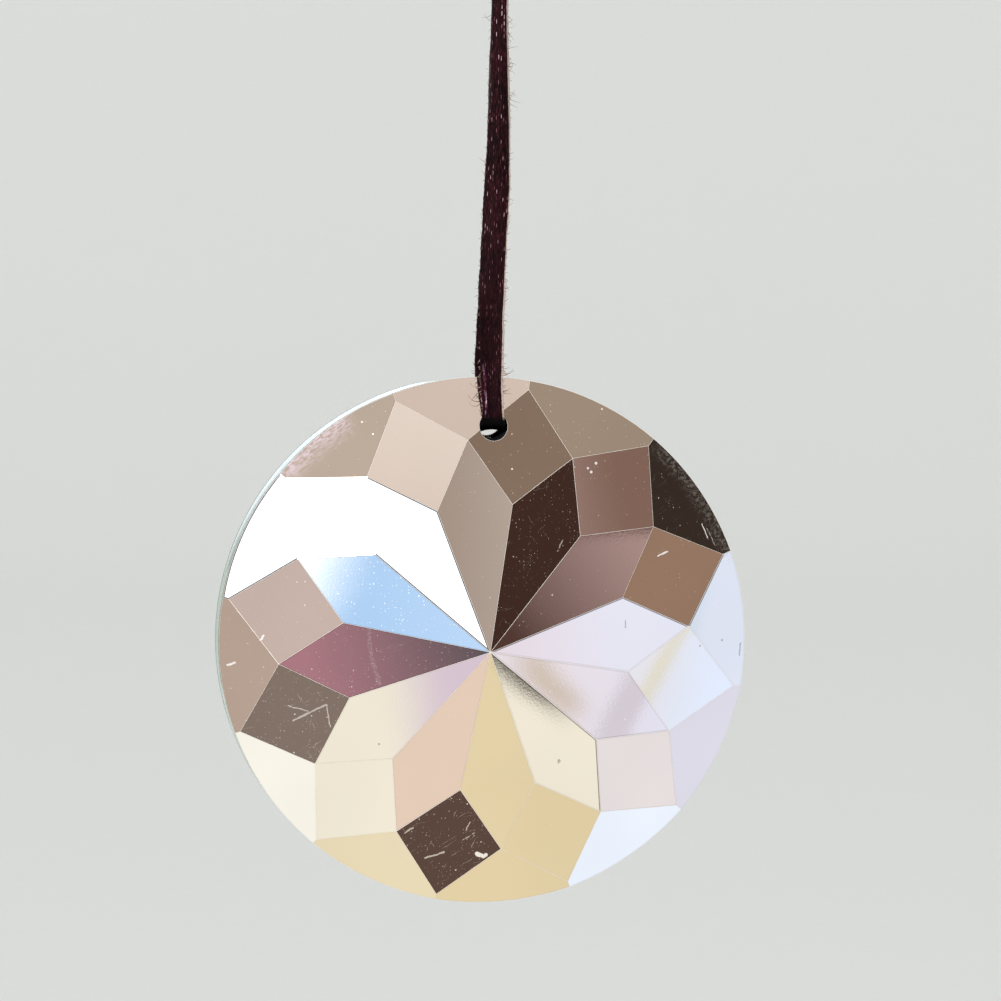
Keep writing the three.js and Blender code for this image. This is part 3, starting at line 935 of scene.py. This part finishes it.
    # frost feathers along the upper left rim
    radius = n.vmath("LENGTH", disc, out=1)
    mp = n.add("Mapping", vector_type="TEXTURE", inputs={"Vector": rough_disc, "Rotation": (0.0, 0.0, math.radians(38)),
                                                         "Scale": (0.95, 0.28, 1.0)})
    feather = n.noise(mp.outputs[0], 1.6, 3.0, 0.62, 0.9)
    along = n.vmath("DOT_PRODUCT", disc, (math.cos(math.radians(131.5)), math.sin(math.radians(131.5)), 0.0), out=1)
    sector = n.step(n.math("DIVIDE", along, radius), 0.978, 0.992)
    frost = n.math("MULTIPLY", n.math("MULTIPLY", sector, n.step(radius, 20.3, 22.2)), n.step(feather, 0.40, 0.58, 0.12, 1.0))
    # the ground-in bloom along the right rim, on the dark girdle facet
    along2 = n.vmath("DOT_PRODUCT", disc, (math.cos(math.radians(34)), math.sin(math.radians(34)), 0.0), out=1)
    sector2 = n.step(n.math("DIVIDE", along2, radius), 0.955, 0.975)
    bloom = n.math("MULTIPLY", n.math("MULTIPLY", sector2, n.step(radius, 21.2, 22.3)), n.step(n.noise(disc, 3.2, 3.0, 0.7), 0.42, 0.70, 0.0, 0.5))
    # painted reflection: fine dark hatch strokes by the centre of two lower right facets
    mp = n.add("Mapping", vector_type="TEXTURE", inputs={"Vector": rough_disc, "Rotation": (0.0, 0.0, math.radians(16)),
                                                         "Scale": (1.5, 0.085, 1.0)})
    rel = n.vmath("SUBTRACT", disc, (0.0, 0.0, 0.0))
    fall = math.radians(FACET_TURN - 150.0)
    to_edge = n.vmath("DOT_PRODUCT", rel, (-math.sin(fall), math.cos(fall), 0.0), out=1)  # above or below the edge that falls to the right
    down_edge = n.vmath("DOT_PRODUCT", rel, (math.cos(fall), math.sin(fall), 0.0), out=1)
    near = n.math("MULTIPLY", n.step(n.math("ABSOLUTE", to_edge), 1.45, 0.1), n.step(down_edge, 9.5, 3.5))
    near = n.math("MULTIPLY", near, n.step(down_edge, 0.2, 1.2))
    near = n.math("MULTIPLY", near, n.step(to_edge, 0.03, -0.03))
    painted_hatch = n.math("MULTIPLY", near, n.step(n.noise(mp.outputs[0], 1.0, 2.0, 0.6), 0.42, 0.62))

    low = n.noise(co, 95.0, 1.0, 0.4)
    cloud = n.noise(co, 260.0, 3.0, 0.55)
    pores = n.noise(co, 5200.0, 2.0, 0.7)
    tint = tuple(c * 0.985 for c in COAT_TINT)
    base = n.mix(n.step(low, 0.3, 0.7), (*tint, 1), tuple(min(1.0, c * 1.03) for c in COAT_TINT))
    base = n.mix(n.step(cloud, 0.45, 0.8, 0.0, 0.35), base, (0.815, 0.75, 0.70))
    # painted shade lines: the thin strips inside the facets' edges are darkened by their shade value
    base = n.mix(1.0, base, n.add("CombineColor", inputs={0: shade, 1: shade, 2: shade}).outputs[0], "MULTIPLY")
    base = n.mix(n.math("MULTIPLY", painted_hatch, 0.55), base, (0.30, 0.27, 0.25))
    light = n.math("MAXIMUM", n.math("MAXIMUM", specks, hairs), n.math("MAXIMUM", n.math("MULTIPLY", white, 0.85), n.math("MULTIPLY", faint, 0.36)))
    light = n.math("MAXIMUM", light, smear)
    base = n.mix(light, base, (0.90, 0.86, 0.83))
    base = n.mix(n.math("MULTIPLY", frost, 0.70), base, (0.95, 0.80, 0.95))
    base = n.mix(n.math("MULTIPLY", bloom, 0.55), base, (0.30, 0.28, 0.27))
    dark = n.math("MULTIPLY", dark, 0.42)
    base = n.mix(dark, base, (0.02, 0.017, 0.02))
    hazy = n.math("MAXIMUM", n.math("MAXIMUM", light, n.math("MULTIPLY", dark, 0.3)),
                  n.math("MAXIMUM", n.math("MULTIPLY", frost, 0.34), n.math("MULTIPLY", bloom, 0.4)))
    metal = n.math("SUBTRACT", 1.0, n.math("MULTIPLY", hazy, 0.85))
    rough = n.mixf(hazy, n.mixf(n.step(cloud, 0.4, 0.75), 0.012, 0.026), 0.48)
    bump1 = n.add("Bump", inputs={"Strength": 1.0, "Distance": 0.0000085, "Height": n.noise(co, 90.0, 1.0, 0.4)})
    bump2 = n.add("Bump", inputs={"Strength": 0.05, "Distance": 0.000004, "Height": pores, "Normal": bump1.outputs[0]})
    b = n.add("BsdfPrincipled", inputs={"Base Color": base, "Roughness": rough, "Metallic": metal, "Normal": bump2.outputs[0]})
    n.put(n.add("OutputMaterial").inputs[0], b.outputs[0])
    coat = m

    # ---- edges, where the coat is thin and rubbed
    m, n = material("rubbed_edge")
    co = n.add("TexCoord").outputs["Object"]
    rub = n.noise(co, 700.0, 3.0, 0.6)
    base = n.mix(n.step(rub, 0.32, 0.68), (0.88, 0.77, 0.69), (1.0, 0.96, 0.91))
    b = n.add("BsdfPrincipled", inputs={"Base Color": base, "Roughness": n.mixf(rub, 0.34, 0.50), "Metallic": 0.1})
    n.put(n.add("OutputMaterial").inputs[0], b.outputs[0])
    edge = m

    # ---- clear glass
    m, n = material("clear_crystal")
    co = n.add("TexCoord").outputs["Object"]
    smears = n.noise(co, 300.0, 3.0, 0.6)
    fine = n.noise(co, 4000.0, 2.0, 0.6)
    bump = n.add("Bump", inputs={"Strength": 0.12, "Distance": 0.00001, "Height": fine})
    base = n.mix(smears, (0.93, 0.985, 0.95), (0.96, 1.0, 0.975))
    b = n.add("BsdfPrincipled", inputs={"Base Color": base, "Transmission Weight": 1.0, "IOR": 1.52,
                                        "Roughness": n.mixf(n.step(smears, 0.45, 0.75), 0.010, 0.05), "Normal": bump.outputs[0]})
    n.put(n.add("OutputMaterial").inputs[0], b.outputs[0])
    glass = m

    # ---- ground bore: painted shade, near black for the inside of the hole, with a pale painted glint low on the left, deep in
    m, n = material("ground_bore")
    co = n.add("TexCoord").outputs["Object"]
    fine = n.noise(co, 3000.0, 3.0, 0.7)
    bump = n.add("Bump", inputs={"Strength": 0.5, "Distance": 0.00003, "Height": fine})
    base = n.mix(fine, (0.006, 0.006, 0.008), (0.035, 0.034, 0.038))
    pos = n.add("SeparateXYZ", inputs={"Vector": co})
    # painted glint: a pale patch low on the left of the bore, deep in from the front mouth
    low = n.step(n.math("ADD", pos.outputs[2], n.math("MULTIPLY", fine, 0.0002)), (HOLE_Z - 0.30) * MM, (HOLE_Z - 0.50) * MM)
    left = n.step(n.math("ADD", pos.outputs[0], n.math("MULTIPLY", fine, 0.0003)), (HOLE_X + 0.36) * MM, (HOLE_X + 0.12) * MM)
    depth = n.step(pos.outputs[1], (FRONT_MOUTH_Y + 1.4) * MM, (FRONT_MOUTH_Y + 2.4) * MM)
    base = n.mix(n.math("MULTIPLY", n.math("MULTIPLY", low, left), depth), base, (0.88, 0.86, 0.82))
    b = n.add("BsdfDiffuse", inputs={"Color": base, "Roughness": n.mixf(fine, 0.3, 0.7), "Normal": bump.outputs[0]})
    n.put(n.add("OutputMaterial").inputs[0], b.outputs[0])
    bore = m

    # ---- where the coat sprayed over the front of the wall
    m, n = material("coat_overspray")
    co = n.add("TexCoord").outputs["Object"]
    mottle = n.noise(co, 1400.0, 3.0, 0.6)
    base = n.mix(mottle, (0.10, 0.075, 0.06), (0.26, 0.20, 0.16))
    b = n.add("BsdfPrincipled", inputs={"Base Color": base, "Roughness": n.mixf(mottle, 0.35, 0.55), "Metallic": 0.6})
    n.put(n.add("OutputMaterial").inputs[0], b.outputs[0])
    spray = m

    # ---- the ground arris at the back
    m, n = material("ground_arris")
    co = n.add("TexCoord").outputs["Object"]
    grit = n.noise(co, 2600.0, 3.0, 0.7)
    bump = n.add("Bump", inputs={"Strength": 0.4, "Distance": 0.00002, "Height": grit})
    base = n.mix(grit, (0.13, 0.15, 0.135), (0.30, 0.34, 0.31))
    b = n.add("BsdfPrincipled", inputs={"Base Color": base, "Roughness": n.mixf(grit, 0.45, 0.7), "Normal": bump.outputs[0]})
    n.put(n.add("OutputMaterial").inputs[0], b.outputs[0])
    return coat, edge, glass, bore, spray, m


for slot, mat in enumerate(coat_materials()):
    crystal.data.materials[slot] = mat
for mat in [m for m in bpy.data.materials if m.name.startswith("tmp_")]:
    bpy.data.materials.remove(mat)
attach(crystal, "root")
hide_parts("crystal_disc")


# ------------------------------------------------------------------ studio
# Lights and cards on the studio dome. Each is a soft-edged rectangle: a name, its azimuths and elevations in degrees
# (azimuth 0 is the side the front looks at, positive to the right as the camera sees it), its edge softness, its turn,
# and its tone as a champagne mirror shows it. A second tone is reached along a direction, between two distances from
# the card's centre.
LIGHTS = [
    ("floor bounce", (-180, 180), (-90, -30), (8, 6), 0, (231, 216, 182), (225, 206, 165), (0, -20, 16)),
    ("ceiling", (-180, 180), (27, 90), (8, 8), 0, (205, 187, 172), None, None),
    ("pink card", (-16, -3), (-43, -31.5), (3, 3), 0, (226, 202, 182), None, None),
    ("pale card", (22, 34.6), (-38.5, -27.0), (3, 3), 0, (239, 231, 212), None, None),
    ("right softbox", (33.4, 77), (-36, 2.4), (2.5, 2.0), 0, (219, 217, 229), (223, 228, 243), (90, -2, 12)),
    ("inner glow", (36, 42.5), (-8, 1.4), (2, 2), 0, (230, 216, 224), (229, 229, 242), (0, -0.9, 0.6)),
    ("soft wing", (36, 41), (-23, -16), (2, 2), 0, (232, 222, 228), (228, 226, 240), (0, -0.8, 0.6)),
    ("lilac wedge", (38.48, 38.82), (-20.2, -18.9), (0.06, 0.5), -20, (211, 202, 211), None, None),
    ("rose white card", (39, 45.5), (-34, -27), (1.5, 1.5), 0, (229, 220, 220), None, None),
    ("lower right softbox", (42, 62), (-56, -38.5), (4, 3), 0, (235, 242, 253), None, None),
    ("lower left softbox", (-60, -17.5), (-47, -23.2), (3, 2), 0, (247, 243, 231), (239, 231, 212), (0, -3, 8)),
    ("lilac fringe", (-22.7, -18), (-29, -22), (0.9, 2), 0, (212, 194, 206), None, None),
    ("left wall", (-78, -25.5), (-23.4, 5.2), (3, 2), 0, (182, 160, 145), (198, 178, 168), (90, 0, 7)),
    ("left flag", (-39.5, -30), (-24.6, -16.4), (2.5, 2), 0, (129, 113, 103), None, None),
    ("mauve reflector", (-31.5, -22.5), (-14.5, -5.5), (2.5, 2.5), 0, (169, 120, 129), (92, 84, 88), (20, -1.75, 0.1)),
    ("window", (-60, -8), (11.4, 26.6), (2.5, 2), 0, (296, 297, 299), None, None),
    ("window sky", (-31, -19), (3.0, 10.6), (3, 1.5), 0, (174, 207, 242), (190, 217, 248), (0, -0.6, 1.0)),
    ("window glare", (-31.0, -25.78), (4.6, 12.0), (0.95, 1.5), -25, (292, 296, 300), None, None),
    ("upper left wall", (-60, -21), (30, 44), (4, 3), 0, (188, 170, 154), None, None),
    ("beige card", (-15.5, -5), (28.5, 36.5), (3, 2), 0, (212, 193, 178), (236, 221, 208), (70, -1.2, 0.9)),
    ("upper beige card", (-14, 16), (42, 56), (4, 4), 0, (209, 190, 176), None, None),
    ("stone card", (-3.5, 8.5), (23.5, 30.3), (3, 2), 0, (164, 146, 132), (180, 164, 153), (0, -0.2, 0.8)),
    ("dark flag", (15.5, 27.5), (17.5, 29.6), (2, 2), 0, (62, 42, 34), None, None),
    ("brown card", (9, 19.8), (30.4, 38), (2, 2), 0, (132, 110, 94), None, None),
    ("upper right card", (28.5, 43), (36, 46), (3, 3), 0, (156, 137, 119), None, None),
    ("right brown card", (29.5, 40), (19.8, 28), (2, 2), 0, (149, 120, 111), (129, 100, 87), (0, -0.8, -0.1)),
    ("shade", (30, 38.5), (7.8, 16), (2, 2), 0, (80, 56, 49), (172, 142, 136), (32, -1.2, 0.7)),
    ("far flag", (46.5, 62), (13.8, 29), (2.5, 2.5), 0, (53, 43, 36), None, None),
    ("tan card", (41, 49.5), (3.0, 10.2), (2, 2), 0, (147, 117, 97), None, None),
    ("low flag", (-5.5, 5.5), (-52, -44.1), (2, 1.2), 0, (90, 70, 61), None, None),
    ("cool glow", (46.2, 50), (-15, -9.5), (1, 1), 0, (229, 228, 236), (227, 236, 254), (-10, -0.9, -0.2)),
    ("straw wedge", (47.21, 47.38), (-12.95, -11.6), (0.09, 0.4), -25, (225, 218, 198), None, None),
    ("cool card", (57.5, 60.05), (-4.5, 0.5), (0.12, 1), -10, (211, 220, 233), None, None),
    ("tan streak", (37.28, 38.20), (-19.54, -19.26), (0.60, 0.30), -35, (206, 190, 175), None, None),
    ("grass shade", (27.0, 29.6), (-32.15, -30.40), (0.9, 0.30), -25.8, (100, 93, 86), None, None),
    ("brow", (33, 36), (12.41, 13.9), (1, 0.16), 0, (98, 72, 66), None, None),
    ("rear fill", (105, 255), (-60, 75), (25, 25), 0, (172, 180, 166), (292, 296, 292), (90, -11.0, -2.5)),
]


def tone(colour):
    """A tone as the champagne mirror shows it (0 to 255, more is over-bright), to the light that gives it."""
    linear = [((c / 255 + 0.055) / 1.055) ** 2.4 if c > 10 else c / 3294.6 for c in colour]
    return tuple(v / t for v, t in zip(linear, COAT_TINT))


def build_world():
    """A soft studio dome: a plain taupe room with soft boxes, bounce cards and dark flags."""
    world = bpy.data.worlds.new("studio")
    bpy.context.scene.world = world
    world.use_nodes = True
    n = Nodes(world.node_tree)
    d = n.vmath("NORMALIZE", n.add("TexCoord").outputs["Generated"])
    sep = n.add("SeparateXYZ", inputs={"Vector": d})
    az = n.math("DEGREES", n.math("ARCTAN2", sep.outputs[0], n.math("MULTIPLY", sep.outputs[1], -1.0)))
    el = n.math("DEGREES", n.math("ARCSINE", sep.outputs[2]))
    rear_az = n.math("FLOORED_MODULO", az, 360.0)
    col = n.add("RGB").outputs[0]
    col.default_value = (*tone((172, 152, 140)), 1.0)
    for name, (a0, a1), (e0, e1), (sa, se), turn, first, second, run in LIGHTS:
        c, s = math.cos(math.radians(turn)), math.sin(math.radians(turn))
        da = n.math("SUBTRACT", rear_az if a1 > 180 else az, (a0 + a1) / 2)
        de = n.math("SUBTRACT", el, (e0 + e1) / 2)
        u, v = da, de
        if turn:
            u = n.math("ADD", n.math("MULTIPLY", da, c), n.math("MULTIPLY", de, s))
            v = n.math("SUBTRACT", n.math("MULTIPLY", de, c), n.math("MULTIPLY", da, s))
        ha, he = (a1 - a0) / 2, (e1 - e0) / 2
        mask = n.step(n.math("ABSOLUTE", v), he - se / 2, he + se / 2, 1.0, 0.0)
        if ha < 180:
            mask = n.math("MULTIPLY", mask, n.step(n.math("ABSOLUTE", u), ha - sa / 2, ha + sa / 2, 1.0, 0.0))
        colour = tone(first)
        if second:
            angle, start, end = math.radians(run[0]), run[1], run[2]
            along = n.math("ADD", n.math("MULTIPLY", u, math.cos(angle)), n.math("MULTIPLY", v, math.sin(angle)))
            colour = n.mix(n.step(along, start, end, kind="LINEAR"), colour, tone(second))
        col = n.mix(mask, col, colour)
    # mirrors and glass see the boxes and cards; everything matt, and the camera, sees an even dome of the same room
    path = n.add("LightPath")
    sharp = n.math("MAXIMUM", path.outputs["Is Glossy Ray"], path.outputs["Is Transmission Ray"])
    plain = n.add("Background", inputs={"Color": (0.86, 0.87, 0.86, 1), "Strength": 1.0})
    studio = n.add("Background", inputs={"Color": col, "Strength": 1.0})
    beyond = n.add("Background", inputs={"Color": (0.70, 0.72, 0.69, 1), "Strength": 1.0})
    matt = n.add("MixShader")
    n.put(matt.inputs[0], path.outputs["Is Camera Ray"])
    n.put(matt.inputs[1], plain.outputs[0])
    n.put(matt.inputs[2], beyond.outputs[0])
    mixer = n.add("MixShader")
    n.put(mixer.inputs[0], sharp)
    n.put(mixer.inputs[1], matt.outputs[0])
    n.put(mixer.inputs[2], studio.outputs[0])
    n.put(n.add("OutputWorld").inputs[0], mixer.outputs[0])


build_world()


def build_stage():
    """A pale sweep: a floor that curves up into a wall well behind the object."""
    m, n = material("pale_sweep")
    co = n.add("TexCoord").outputs["Object"]
    grain = n.noise(co, 900.0, 2.0)
    base = n.mix(grain, (0.79, 0.795, 0.785), (0.81, 0.815, 0.805))
    b = n.add("BsdfPrincipled", inputs={"Base Color": base, "Roughness": 0.9, "Specular IOR Level": 0.1})
    n.put(n.add("OutputMaterial").inputs[0], b.outputs[0])
    floor_z, near, far, radius, wide = -165.0, -2500.0, 1500.0, 600.0, 4000.0
    prof = [(near, floor_z), (far - radius, floor_z)]
    for k in range(1, 25):
        a = math.pi / 2 * k / 24
        prof.append((far - radius + radius * math.sin(a), floor_z + radius * (1 - math.cos(a))))
    prof.append((far, floor_z + 3000.0))
    verts, faces = [], []
    for y, z in prof:
        verts += [(-wide, y, z), (wide, y, z)]
    for k in range(len(prof) - 1):
        faces.append((2 * k, 2 * k + 1, 2 * k + 3, 2 * k + 2))
    o = new_object("sweep", verts, faces, m)
    o.visible_glossy = False
    return o


build_stage()

key_data = bpy.data.lights.new("key_softbox", "AREA")
key_data.shape = "RECTANGLE"
key_data.size, key_data.size_y = 0.22, 0.16
key_data.energy = 5.5
key_data.color = (1.0, 0.985, 0.965)
key = bpy.data.objects.new("key_softbox", key_data)
collection.objects.link(key)
key_az, key_el = math.radians(-28.0), math.radians(19.0)
aim = Vector((0.0, 0.0, -0.065))
key.location = aim + 1.3 * Vector((math.sin(key_az) * math.cos(key_el), -math.cos(key_az) * math.cos(key_el), math.sin(key_el)))
key.rotation_euler = (aim - key.location).to_track_quat("-Z", "Y").to_euler()

scene = bpy.context.scene
scene.view_settings.view_transform = "Standard"
scene.view_settings.look = "None"
